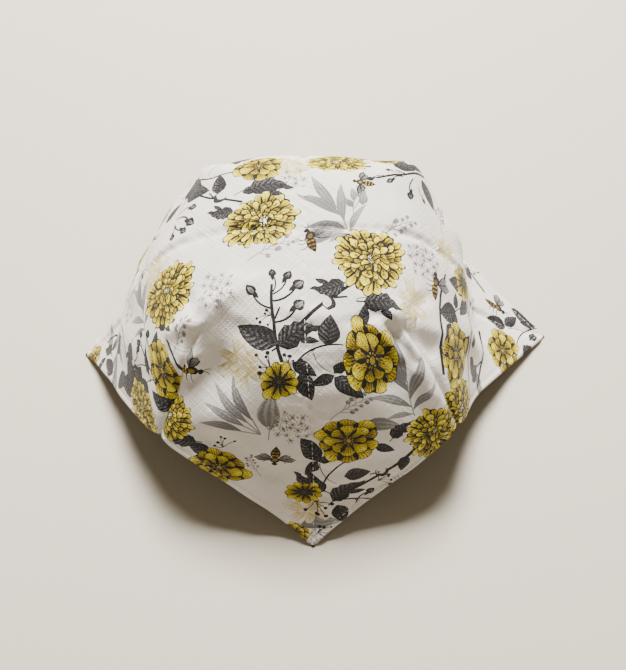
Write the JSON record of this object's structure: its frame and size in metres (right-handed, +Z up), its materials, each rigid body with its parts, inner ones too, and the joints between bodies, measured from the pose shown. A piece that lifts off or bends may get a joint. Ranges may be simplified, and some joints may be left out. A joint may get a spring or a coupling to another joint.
{
  "type": "bowl cosy",
  "caption": "Padded cotton bowl cosy turned upside down: a darted square cover sewn to a darted lining, quilted corner to corner, standing on its pointed corners.",
  "frame": {"origin": "middle of the footprint, on the table that the four tips stand on", "axes": "+Z up, away from the mouth; -Y towards the tip nearest the viewer in the picture; +X towards its right-hand tip"},
  "size_m": [0.2617, 0.2455, 0.0967],
  "materials": {
    "printed_cotton": "matte",
    "dotted_cotton": "matte"
  },
  "bodies": {
    "root": {"cover": "printed_cotton", "lining": "dotted_cotton"}
  },
  "joints": []
}
